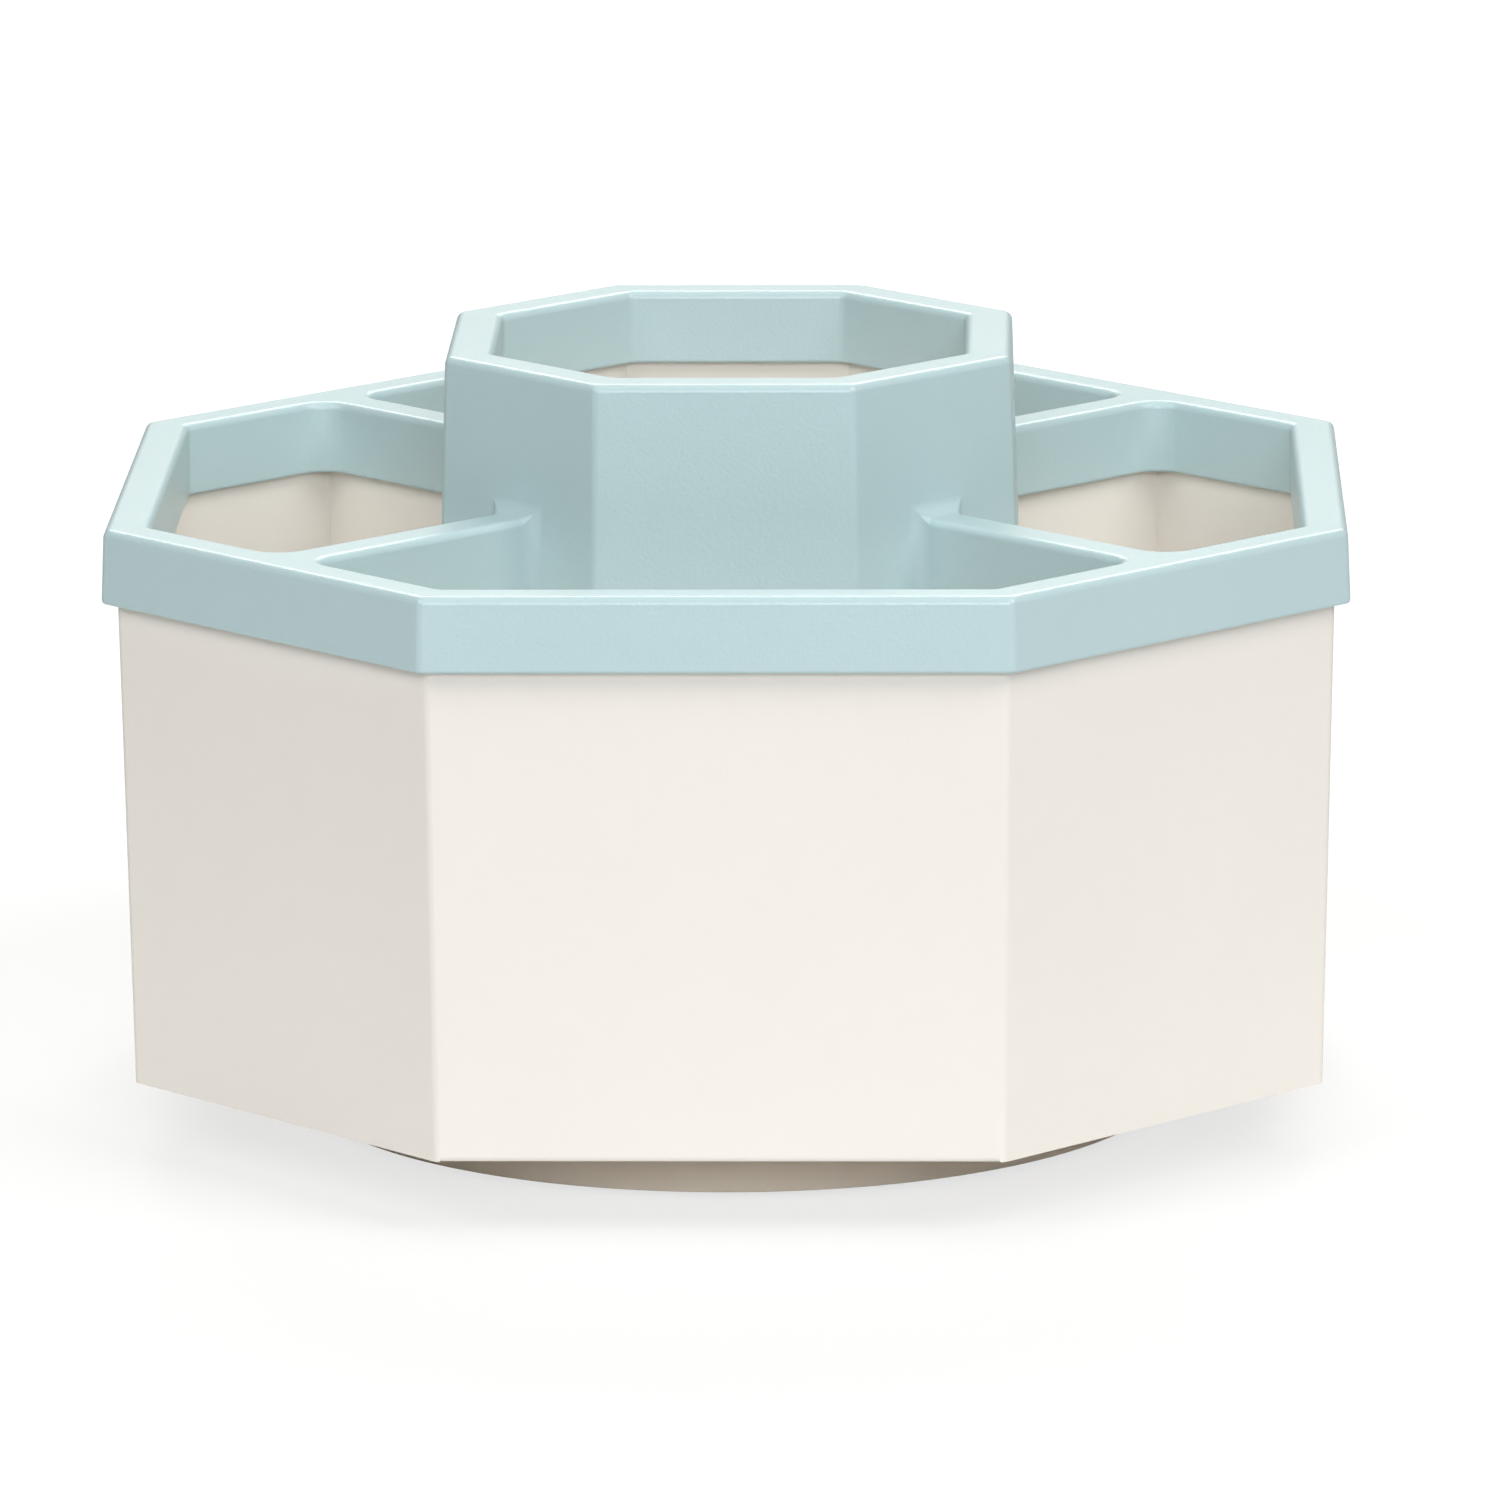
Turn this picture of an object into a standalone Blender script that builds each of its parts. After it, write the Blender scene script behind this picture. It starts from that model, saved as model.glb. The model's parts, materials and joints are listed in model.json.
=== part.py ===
"""Rotating pen holder, in metres with +Z up.

An octagonal tub with four pockets and a taller tube in the middle carries a channel-shaped
top frame, and turns on a ball-bearing turntable. The origin is on the table, on the axis
that the holder turns about.
"""

import math

import bmesh
import bpy
from mathutils import Matrix, Vector

# Gaps between pieces
SEAT_GAP = 0.0003  # faces that touch
RUNNING_GAP = 0.0004  # spindle in its hub, pads in their seats
FRAME_FIT = 0.00035  # tub walls to each leg of the top frame's channel

# Top frame: rim, bars and pocket lips
SKIRT_WIDTH = 0.1650  # across the flats of the four long sides, at the skirt's foot
LONG_SIDE = 0.0766  # one long side of the skirt
RIM_HEIGHT = 0.0856  # the rim's top plane above the table
SKIRT_DEPTH = 0.0100  # legs of the channel
SKIRT_FLARE = 0.0004  # how far the skirt leans out towards its foot
FRAME_WALL = 0.0016
FRAME_TOP = 0.0018
SKIRT_CORNER_RADIUS = 0.0020
POCKET_CORNER_RADIUS = 0.0040
TOP_EDGE_RADIUS = 0.0015
SKIRT_FOOT_RADIUS = 0.0008

# Top frame: sleeve over the middle tube
SLEEVE_WIDTH = 0.0755  # across the flats of its long sides, at the top
SLEEVE_SIDE = 0.0341  # one long side, at the top
SLEEVE_RISE = 0.0193  # its top above the rim
SLEEVE_FLARE = 0.0009  # how far it leans out towards its foot
BORE_CORNER_RADIUS = 0.0020
BAR_ROOT_RADIUS = 0.0020  # fillet between a bar and the sleeve

# Tub
TUB_WALL = 0.0023
TUB_TAPER = 0.0014  # how far each side leans in towards its foot
TUB_CORNER_RADIUS = 0.0015
TUB_FOOT_RADIUS = 0.0008
TUB_FLOOR = 0.0020
TUB_CLEARANCE = 0.0013  # the tub's lower edge above the base disc
DIVIDER_THICKNESS = 0.0022  # at the top
DIVIDER_TAPER = 0.0003  # each face leans out by this towards the floor
TUBE_TAPER = 0.0010  # how far the tube leans out towards the floor
TUBE_BORE_TAPER = 0.0004  # how far its bore leans in towards the floor
BOSS_HEIGHT = 0.0040  # screw bosses under the floor
BOSS_DIAMETER = 0.0072
RIB_THICKNESS = 0.0014  # ribs under the floor
RIB_RELIEF = 0.0006  # the ribs stop this far short of the bosses' ends

# Base disc
DISC_DIAMETER = 0.1184
DISC_HEIGHT = 0.0080
DISC_TAPER = 0.0004
DISC_WALL = 0.0020
DISC_DECK = 0.0024
DISC_EDGE_RADIUS = 0.0010
HUB_DIAMETER = 0.0200
DISC_RIB_THICKNESS = 0.0014
DISC_RIB_INSET = 0.0010  # the ribs stop this far above the disc's lower edge

# Foot pads
PAD_DIAMETER = 0.0120
PAD_THICKNESS = 0.0016
PAD_PROUD = 0.0008
PAD_EDGE = 0.0003
PAD_SEAT_WALL = 0.0012

# Ball race
BALL_DIAMETER = 0.0050
BALL_COUNT = 12
RACE_DIAMETER = 0.0760
RACE_DEPTH = 0.0012
CAGE_THICKNESS = 0.0016
CAGE_WIDTH = 0.0090

# Turntable plate
PLATE_THICKNESS = 0.0026
PLATE_MARGIN = 0.0020  # plastic outside the screw heads
PLATE_EDGE_RADIUS = 0.0008
SPINDLE_DIAMETER = 0.0110

# Screws and washer
SCREW_DIAMETER = 0.0030
SCREW_HEAD_DIAMETER = 0.0056
SCREW_HEAD_HEIGHT = 0.0015
PLATE_SCREW_GRIP = 0.0042  # shank inside a boss
PIVOT_SCREW_GRIP = 0.0074  # shank inside the spindle
HEAD_RECESS = 0.0002  # the pivot screw's head above the disc's lower edge
WASHER_INSET = 0.0015  # the washer's edge inside the hub's
WASHER_THICKNESS = 0.0010
HEAD_SPACE = 0.0008  # between a plate screw's head and the ball cage, seen from above

# Fineness of the rounded forms
FILLET_STEPS = 3
CORNER_STEPS = 2
POCKET_CORNER_STEPS = 4
GROOVE_STEPS = 6
TURNED_STEPS = 60
SMALL_STEPS = 16
BALL_STEPS = 14
BALL_RINGS = 8
OVERRUN = 0.0020  # how far a cutter runs past the face that it opens

# Directions, in degrees, that the sides of the octagons and pockets face
LONG_FACES = (270, 0, 90, 180)
SHORT_FACES = (315, 45, 135, 225)
SMOOTH_ANGLE = math.radians(40)

# Levels, from the table up
disc_foot = PAD_PROUD
disc_top = disc_foot + DISC_HEIGHT
ball_radius = BALL_DIAMETER / 2
groove_radius = ball_radius + SEAT_GAP
ball_level = disc_top - RACE_DEPTH + groove_radius
plate_foot = ball_level + groove_radius - RACE_DEPTH
plate_top = plate_foot + PLATE_THICKNESS
boss_foot = plate_top + SEAT_GAP
floor_foot = boss_foot + BOSS_HEIGHT
floor_top = floor_foot + TUB_FLOOR
tub_foot = disc_top + TUB_CLEARANCE
tub_top = RIM_HEIGHT - FRAME_TOP - SEAT_GAP
sleeve_top = RIM_HEIGHT + SLEEVE_RISE
tube_top = sleeve_top - FRAME_TOP - SEAT_GAP
skirt_foot = RIM_HEIGHT - SKIRT_DEPTH
head_foot = disc_foot + HEAD_RECESS
washer_foot = head_foot + SCREW_HEAD_HEIGHT + SEAT_GAP
washer_top = washer_foot + WASHER_THICKNESS
spindle_foot = washer_top + SEAT_GAP
hub_foot = spindle_foot + SEAT_GAP

# Half widths, measured from the turning axis to a long side and to a short side
ROOT_TWO = math.sqrt(2)


def apothems(width, side):
    """Distances from the axis to the long and short sides of an octagon."""
    return width / 2, (width / 2 + side / 2) / ROOT_TWO


def offset(distances, amount):
    return tuple(distance + amount for distance in distances)


# How far the tub's tapering walls lean towards the lips, down at the lips' lower edge
lip_drop = tub_top - skirt_foot
wall_lean = TUB_TAPER * lip_drop / (tub_top - tub_foot)
divider_lean = DIVIDER_TAPER * lip_drop / (tub_top - floor_top)
bore_lean = TUBE_BORE_TAPER * lip_drop / (tube_top - floor_top)

skirt = apothems(SKIRT_WIDTH, LONG_SIDE)
channel = TUB_WALL + 2 * (FRAME_FIT + FRAME_WALL)
rim_lip = offset(skirt, -channel - wall_lean)
sleeve = apothems(SLEEVE_WIDTH, SLEEVE_SIDE)
bore = offset(sleeve, -channel - bore_lean)
bar_half = DIVIDER_THICKNESS / 2 + divider_lean + FRAME_FIT + FRAME_WALL
tub_mouth = offset(skirt, -FRAME_WALL - FRAME_FIT)
tub_base = offset(tub_mouth, -TUB_TAPER)
tube_mouth = offset(sleeve, -FRAME_WALL - FRAME_FIT)

# Radii and places of the turned pieces
race_radius = RACE_DIAMETER / 2
cage_outer = race_radius + CAGE_WIDTH / 2
screw_circle = cage_outer + HEAD_SPACE + SCREW_HEAD_DIAMETER / 2
plate_radius = screw_circle + SCREW_HEAD_DIAMETER / 2 + PLATE_MARGIN
disc_radius = DISC_DIAMETER / 2
pad_radius = PAD_DIAMETER / 2
pad_seat_radius = pad_radius + RUNNING_GAP + PAD_SEAT_WALL
pad_circle = disc_radius - DISC_WALL / 2 - pad_seat_radius
hub_radius = HUB_DIAMETER / 2
screw_radius = SCREW_DIAMETER / 2
screw_hole_radius = screw_radius + SEAT_GAP
spindle_radius = SPINDLE_DIAMETER / 2


# Outlines in plan
def side_direction(side):
    angle = math.radians(side[0])
    return Vector((math.cos(angle), math.sin(angle)))


def crossing(first, second):
    """The point where two sides meet; a side is the direction that it faces and its distance."""
    a, b = side_direction(first), side_direction(second)
    det = a.x * b.y - a.y * b.x
    x = (first[1] * b.y - second[1] * a.y) / det
    y = (a.x * second[1] - b.x * first[1]) / det
    return Vector((x, y))


def rounded(before, corner, after, radius, steps):
    """The points of one corner's arc."""
    come = (corner - before).normalized()
    go = (after - corner).normalized()
    turn = math.atan2(come.x * go.y - come.y * go.x, come.dot(go))
    start = corner - come * radius * math.tan(abs(turn) / 2)
    inward = Vector((-come.y, come.x)) * math.copysign(radius, turn)
    centre = start + inward
    points = []
    for step in range(steps + 1):
        points.append(centre + Matrix.Rotation(turn * step / steps, 2) @ (start - centre))
    return points


def outline(sides, radii, steps):
    """A closed plan from its sides in order, with radii[i] where side i meets the next."""
    count = len(sides)
    corners = [crossing(sides[i], sides[(i + 1) % count]) for i in range(count)]
    points = []
    for i, corner in enumerate(corners):
        if radii[i] == 0:
            points.append(corner)
            continue
        before, after = corners[i - 1], corners[(i + 1) % count]
        points.extend(rounded(before, corner, after, radii[i], steps[i]))
    return points


def octagon(distances, radius=0, steps=CORNER_STEPS):
    """The plan of an octagon whose long sides face the four axes."""
    sides = []
    for long_face, short_face in zip(LONG_FACES, SHORT_FACES):
        sides.append((long_face, distances[0]))
        sides.append((short_face, distances[1]))
    return outline(sides, [radius] * len(sides), [steps] * len(sides))


def pocket(walls, bar, core, radius=0):
    """The plan of the front pocket: outer walls, the two bars beside it and the core behind."""
    sides = [
        (270, walls[0]),
        (315, walls[1]),
        (45, -bar),
        (135, -core[1]),
        (90, -core[0]),
        (45, -core[1]),
        (135, -bar),
        (225, walls[1]),
    ]
    wall_radius = radius / 2
    radii = [wall_radius, radius, 0, 0, 0, 0, radius, wall_radius]
    steps = [CORNER_STEPS, POCKET_CORNER_STEPS, 1, 1, 1, 1, POCKET_CORNER_STEPS, CORNER_STEPS]
    return outline(sides, radii, steps)


def ring(plan, level):
    return [Vector((point.x, point.y, level)) for point in plan]


def fillet_shares(steps=FILLET_STEPS):
    """How far in and how far up each step of a quarter round lies, as shares of its radius."""
    angles = [math.pi / 2 * step / steps for step in range(steps + 1)]
    return [(1 - math.cos(angle), math.sin(angle)) for angle in angles]


# Solids
def finished(name, form, smooth=False):
    bmesh.ops.recalc_face_normals(form, faces=form.faces)
    mesh = bpy.data.meshes.new(name)
    form.to_mesh(mesh)
    form.free()
    if smooth:
        mesh.shade_smooth()
        mesh.set_sharp_from_angle(angle=SMOOTH_ANGLE)
    piece = bpy.data.objects.new(name, mesh)
    bpy.context.scene.collection.objects.link(piece)
    return piece


def loft(name, rings):
    """A solid through rings of equal length: the first is filled, then extruded to each next."""
    form = bmesh.new()
    face = form.faces.new([form.verts.new(point) for point in rings[0]])
    for index, points in enumerate(rings[1:]):
        base = face
        made = bmesh.ops.extrude_face_region(form, geom=[base])["geom"]
        face = next(item for item in made if isinstance(item, bmesh.types.BMFace))
        start = rings[index][0]
        loop = min(face.loops, key=lambda each: (each.vert.co - start).length)
        for point in points:
            loop.vert.co = point
            loop = loop.link_loop_next
        if index > 0:
            bmesh.ops.delete(form, geom=[base], context="FACES_ONLY")
    return finished(name, form)


def prism(name, plan, foot, top):
    return loft(name, [ring(plan, foot), ring(plan, top)])


def turned(name, profile, steps=TURNED_STEPS, closed=True):
    """A solid of revolution about the Z axis; an open profile starts and ends on the axis."""
    form = bmesh.new()
    points = [form.verts.new((radius, 0, level)) for radius, level in profile]
    edges = [form.edges.new(pair) for pair in zip(points, points[1:])]
    if closed:
        edges.append(form.edges.new((points[-1], points[0])))
    bmesh.ops.spin(
        form,
        geom=points + edges,
        axis=(0, 0, 1),
        cent=(0, 0, 0),
        angle=math.tau,
        steps=steps,
        use_merge=True,
    )
    bmesh.ops.remove_doubles(form, verts=form.verts, dist=SEAT_GAP / 1000)
    return finished(name, form, smooth=True)


def cylinder(name, radius, foot, top, centre=(0, 0), steps=SMALL_STEPS):
    form = bmesh.new()
    bmesh.ops.create_circle(form, cap_ends=True, segments=steps, radius=radius)
    face = form.faces[:][0]
    made = bmesh.ops.extrude_face_region(form, geom=[face])["geom"]
    raised = [item for item in made if isinstance(item, bmesh.types.BMVert)]
    bmesh.ops.translate(form, verts=raised, vec=(0, 0, top - foot))
    bmesh.ops.translate(form, verts=form.verts, vec=(centre[0], centre[1], foot))
    return finished(name, form)


def beam(name, length, thickness, foot, top, angle, start):
    """An upright rib that runs outwards from start along a direction in plan."""
    plan = [
        Vector((start, -thickness / 2)),
        Vector((start + length, -thickness / 2)),
        Vector((start + length, thickness / 2)),
        Vector((start, thickness / 2)),
    ]
    spin = Matrix.Rotation(math.radians(angle), 2)
    return prism(name, [spin @ point for point in plan], foot, top)


def quarter_turned(make):
    """Four copies of a solid, a quarter turn apart."""
    copies = []
    for quarter in range(4):
        piece = make()
        piece.data.transform(Matrix.Rotation(math.pi / 2 * quarter, 4, "Z"))
        copies.append(piece)
    return copies


def combine(piece, others, operation):
    """Cuts the others from a piece, or joins them to it, and removes them."""
    for other in others:
        other.hide_render = True
        other.display_type = "WIRE"
        modifier = piece.modifiers.new(operation, "BOOLEAN")
        modifier.operation = operation
        modifier.object = other
        graph = bpy.context.evaluated_depsgraph_get()
        mesh = bpy.data.meshes.new_from_object(piece.evaluated_get(graph))
        piece.modifiers.clear()
        piece.data = mesh
        bpy.data.objects.remove(other)
    return piece


def cut(piece, *others):
    return combine(piece, others, "DIFFERENCE")


def join(piece, *others):
    return combine(piece, others, "UNION")


def on_circle(radius, angle):
    return radius * math.cos(math.radians(angle)), radius * math.sin(math.radians(angle))


# Top frame
def rim_block():
    """The rim's outer form: rounded foot, flared skirt, rounded top edge, filled across."""
    rings = []
    for inward, up in reversed(fillet_shares()):
        plan = octagon(offset(skirt, -SKIRT_FOOT_RADIUS * inward), SKIRT_CORNER_RADIUS)
        rings.append(ring(plan, skirt_foot + SKIRT_FOOT_RADIUS * (1 - up)))
    top = offset(skirt, -SKIRT_FLARE)
    for inward, up in fillet_shares():
        plan = octagon(offset(top, -TOP_EDGE_RADIUS * inward), SKIRT_CORNER_RADIUS)
        rings.append(ring(plan, RIM_HEIGHT - TOP_EDGE_RADIUS * (1 - up)))
    return loft("top_frame", rings)


def sleeve_block():
    """The sleeve's outer form, from the foot of the pocket lips to its rounded top edge."""
    flared = offset(sleeve, SLEEVE_FLARE)
    rings = [ring(octagon(flared, SKIRT_CORNER_RADIUS), skirt_foot)]
    for inward, up in fillet_shares():
        plan = octagon(offset(sleeve, -TOP_EDGE_RADIUS * inward), SKIRT_CORNER_RADIUS)
        rings.append(ring(plan, sleeve_top - TOP_EDGE_RADIUS * (1 - up)))
    return loft("sleeve", rings)


def pocket_opening():
    """A pocket's mouth through the rim, widening where its top edge is rounded."""
    rings = [ring(pocket(rim_lip, bar_half, bore, POCKET_CORNER_RADIUS), skirt_foot - OVERRUN)]
    for outward, up in fillet_shares():
        spread = TOP_EDGE_RADIUS * outward
        radius = POCKET_CORNER_RADIUS + spread
        plan = pocket(offset(rim_lip, spread), bar_half - spread, bore, radius)
        rings.append(ring(plan, RIM_HEIGHT - TOP_EDGE_RADIUS * (1 - up)))
    rings.append(ring(plan, RIM_HEIGHT + OVERRUN))
    return loft("pocket_opening", rings)


def bore_opening():
    """The sleeve's mouth, widening where its top edge is rounded."""
    rings = [ring(octagon(bore, BORE_CORNER_RADIUS), skirt_foot - OVERRUN)]
    for outward, up in fillet_shares():
        spread = TOP_EDGE_RADIUS * outward
        plan = octagon(offset(bore, spread), BORE_CORNER_RADIUS + spread)
        rings.append(ring(plan, sleeve_top - TOP_EDGE_RADIUS * (1 - up)))
    rings.append(ring(plan, sleeve_top + OVERRUN))
    return loft("bore_opening", rings)


def lip_core():
    """What a pocket's lips enclose, so that the hollow of the rim leaves them standing."""
    plan = pocket(
        offset(rim_lip, FRAME_WALL),
        bar_half - FRAME_WALL,
        offset(bore, -FRAME_WALL),
        POCKET_CORNER_RADIUS + FRAME_WALL,
    )
    return prism("lip_core", plan, skirt_foot - 2 * OVERRUN, RIM_HEIGHT + OVERRUN)


def frame_hollow():
    """The space inside the upside-down channel, where the tub's walls stand."""
    inner = octagon(offset(skirt, -FRAME_WALL), SKIRT_CORNER_RADIUS)
    hollow = prism("hollow", inner, skirt_foot - OVERRUN, RIM_HEIGHT - FRAME_TOP)
    cut(hollow, *quarter_turned(lip_core))
    wall_foot = offset(sleeve, SLEEVE_FLARE - FRAME_WALL)
    wall_top = offset(sleeve, -FRAME_WALL)
    throat = loft(
        "throat",
        [
            ring(octagon(wall_foot, SKIRT_CORNER_RADIUS), skirt_foot - OVERRUN),
            ring(octagon(wall_top, SKIRT_CORNER_RADIUS), sleeve_top - FRAME_TOP),
        ],
    )
    lip = octagon(offset(bore, FRAME_WALL), BORE_CORNER_RADIUS + FRAME_WALL)
    cut(throat, prism("lip", lip, sleeve_top - SKIRT_DEPTH, sleeve_top + OVERRUN))
    return join(hollow, throat)


def bar_root():
    """The hollow round at the front-right bar's end, between its top and the sleeve."""
    rise_share = SLEEVE_RISE / (SLEEVE_RISE + SKIRT_DEPTH)
    wall = sleeve[1] + SLEEVE_FLARE * rise_share
    inside, below = wall - FRAME_WALL / 2, RIM_HEIGHT - FRAME_TOP / 2
    section = [(inside, RIM_HEIGHT + BAR_ROOT_RADIUS), (inside, below)]
    section.append((wall + BAR_ROOT_RADIUS, below))
    for inward, up in fillet_shares():
        out = wall + BAR_ROOT_RADIUS * (1 - up)
        section.append((out, RIM_HEIGHT + BAR_ROOT_RADIUS * inward))
    half = bar_half - TOP_EDGE_RADIUS
    rings = [[Vector((out, side, level)) for out, level in section] for side in (-half, half)]
    root = loft("bar_root", rings)
    root.data.transform(Matrix.Rotation(math.radians(SHORT_FACES[0]), 4, "Z"))
    return root


def make_top_frame():
    frame = rim_block()
    cut(frame, *quarter_turned(pocket_opening))
    join(frame, sleeve_block(), *quarter_turned(bar_root))
    cut(frame, bore_opening(), frame_hollow())
    return frame


# Tub
def tub_half(level):
    """The tub's half widths at a level, on its tapering sides."""
    share = (tub_top - level) / (tub_top - tub_foot)
    return offset(tub_mouth, -TUB_TAPER * share)


def tub_block():
    rings = []
    for inward, up in reversed(fillet_shares()):
        half = offset(tub_base, -TUB_FOOT_RADIUS * inward)
        level = tub_foot + TUB_FOOT_RADIUS * (1 - up)
        rings.append(ring(octagon(half, TUB_CORNER_RADIUS), level))
    rings.append(ring(octagon(tub_mouth, TUB_CORNER_RADIUS), tub_top))
    return loft("tub", rings)


def tub_pocket():
    """A pocket's inside, between the outer walls, two dividers and the tube."""
    core = offset(tube_mouth, -TUB_WALL)
    foot = pocket(
        offset(tub_half(floor_top), -TUB_WALL), DIVIDER_THICKNESS / 2 + DIVIDER_TAPER, core
    )
    mouth = pocket(offset(tub_mouth, -TUB_WALL), DIVIDER_THICKNESS / 2, core)
    return loft(
        "tub_pocket",
        [ring(foot, floor_top), ring(mouth, tub_top), ring(mouth, tub_top + OVERRUN)],
    )


def tube_block():
    foot = octagon(offset(tube_mouth, TUBE_TAPER), TUB_CORNER_RADIUS)
    mouth = octagon(tube_mouth, TUB_CORNER_RADIUS)
    return loft("tube", [ring(foot, floor_foot + TUB_FLOOR / 2), ring(mouth, tube_top)])


def tube_bore():
    mouth_half = offset(tube_mouth, -TUB_WALL)
    foot = octagon(offset(mouth_half, -TUBE_BORE_TAPER), TUB_CORNER_RADIUS)
    mouth = octagon(mouth_half, TUB_CORNER_RADIUS)
    return loft(
        "tube_bore",
        [ring(foot, floor_top), ring(mouth, tube_top), ring(mouth, tube_top + OVERRUN)],
    )


def tub_underside():
    """The recess below the floor that hides the turntable, with its ribs left standing."""
    foot = octagon(offset(tub_base, -TUB_WALL), TUB_CORNER_RADIUS)
    top = octagon(offset(tub_half(floor_foot), -TUB_WALL), TUB_CORNER_RADIUS)
    recess = loft(
        "recess",
        [ring(foot, tub_foot - OVERRUN), ring(foot, tub_foot), ring(top, floor_foot)],
    )
    rib_foot = boss_foot + RIB_RELIEF
    reach = tub_mouth[1]
    ribs = []
    for angle in LONG_FACES[:2] + SHORT_FACES[:2]:
        ribs.append(
            beam("rib", 2 * reach, RIB_THICKNESS, rib_foot, floor_top, angle, -reach)
        )
    bosses = []
    for angle in SHORT_FACES:
        place = on_circle(screw_circle, angle)
        bosses.append(cylinder("boss", BOSS_DIAMETER / 2, boss_foot, floor_top, place))
    return cut(recess, *ribs, *bosses)


def make_tub():
    tub = tub_block()
    cut(tub, *quarter_turned(tub_pocket))
    join(tub, tube_block())
    cut(tub, tube_bore(), tub_underside())
    hole_top = boss_foot + PLATE_SCREW_GRIP + SEAT_GAP
    for angle in SHORT_FACES:
        place = on_circle(screw_circle, angle)
        cut(tub, cylinder("pilot", screw_hole_radius, boss_foot - OVERRUN, hole_top, place))
    return tub


# Turntable
def groove(level, sign):
    """The race groove's section on a face at this level; sign is which way the balls lie."""
    depth_angle = math.acos((groove_radius - RACE_DEPTH) / groove_radius)
    points = []
    for step in range(GROOVE_STEPS + 1):
        angle = depth_angle * (2 * step / GROOVE_STEPS - 1)
        out = race_radius + groove_radius * math.sin(angle)
        fall = groove_radius * math.cos(angle) - (groove_radius - RACE_DEPTH)
        points.append((out, level - sign * fall))
    return points


def make_base_disc():
    """Turned from one section: hub, grooved deck and outer wall, ribbed underneath."""
    deck_foot = disc_top - DISC_DECK
    hub_bore = spindle_radius + RUNNING_GAP
    top_radius = disc_radius - DISC_TAPER
    profile = [(hub_bore, hub_foot), (hub_bore, disc_top)]
    profile.extend(groove(disc_top, 1))
    for inward, up in reversed(fillet_shares()):
        level = disc_top - DISC_EDGE_RADIUS * (1 - up)
        profile.append((top_radius - DISC_EDGE_RADIUS * inward, level))
    profile.append((disc_radius, disc_foot + PAD_EDGE))
    profile.append((disc_radius - PAD_EDGE, disc_foot))
    profile.append((disc_radius - DISC_WALL, disc_foot))
    profile.append((disc_radius - DISC_WALL - DISC_TAPER, deck_foot))
    profile.append((hub_radius, deck_foot))
    profile.append((hub_radius, hub_foot))
    disc = turned("base_disc", profile)
    rib_start = hub_radius - WASHER_INSET / 2
    rib_length = disc_radius - DISC_WALL / 2 - DISC_TAPER - rib_start
    rib_foot = disc_foot + DISC_RIB_INSET
    rib_top = (deck_foot + disc_top - RACE_DEPTH) / 2
    for angle in LONG_FACES + SHORT_FACES:
        rib = beam("rib", rib_length, DISC_RIB_THICKNESS, rib_foot, rib_top, angle, rib_start)
        join(disc, rib)
    recess_radius = pad_radius + RUNNING_GAP
    recess_top = PAD_THICKNESS + SEAT_GAP
    for angle in SHORT_FACES:
        place = on_circle(pad_circle, angle)
        join(disc, cylinder("seat", pad_seat_radius, disc_foot, rib_top, place))
        cut(disc, cylinder("recess", recess_radius, disc_foot - OVERRUN, recess_top, place))
    return disc


def make_foot_pad(name, angle):
    profile = [
        (0, 0),
        (pad_radius - PAD_EDGE, 0),
        (pad_radius, PAD_EDGE),
        (pad_radius, PAD_THICKNESS),
        (0, PAD_THICKNESS),
    ]
    pad = turned(name, profile, steps=SMALL_STEPS, closed=False)
    pad.location = (*on_circle(pad_circle, angle), 0)
    return pad


def make_plate():
    """Upper half of the turntable: a grooved plate with its spindle, drilled for the screws."""
    pilot_top = spindle_foot + PIVOT_SCREW_GRIP + SEAT_GAP
    profile = [(0, plate_top)]
    profile.append((plate_radius - PLATE_EDGE_RADIUS, plate_top))
    profile.append((plate_radius, plate_top - PLATE_EDGE_RADIUS))
    profile.append((plate_radius, plate_foot))
    profile.extend(reversed(groove(plate_foot, -1)))
    profile.append((spindle_radius, plate_foot))
    profile.append((spindle_radius, spindle_foot))
    profile.append((screw_hole_radius, spindle_foot))
    profile.append((screw_hole_radius, pilot_top))
    profile.append((0, pilot_top))
    plate = turned("turntable_plate", profile, closed=False)
    for angle in SHORT_FACES:
        place = on_circle(screw_circle, angle)
        foot, top = plate_foot - OVERRUN, plate_top + OVERRUN
        cut(plate, cylinder("hole", screw_hole_radius, foot, top, place))
    return plate


def make_cage():
    """A flat ring with a round window for each ball."""
    foot = ball_level - CAGE_THICKNESS / 2
    top = foot + CAGE_THICKNESS
    inner = race_radius - CAGE_WIDTH / 2
    cage = turned("ball_cage", [(inner, foot), (inner, top), (cage_outer, top), (cage_outer, foot)])
    for index in range(BALL_COUNT):
        place = on_circle(race_radius, ball_angle(index))
        window = cylinder("window", groove_radius, foot - OVERRUN, top + OVERRUN, place)
        cut(cage, window)
    return cage


def ball_angle(index):
    return 360 * index / BALL_COUNT


def make_balls():
    form = bmesh.new()
    bmesh.ops.create_uvsphere(
        form, u_segments=BALL_STEPS, v_segments=BALL_RINGS, radius=ball_radius
    )
    mesh = bpy.data.meshes.new("ball")
    form.to_mesh(mesh)
    form.free()
    mesh.shade_smooth()
    balls = []
    for index in range(BALL_COUNT):
        ball = bpy.data.objects.new(f"ball_{index + 1:02d}", mesh)
        ball.location = (*on_circle(race_radius, ball_angle(index)), ball_level)
        bpy.context.scene.collection.objects.link(ball)
        balls.append(ball)
    return balls


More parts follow.
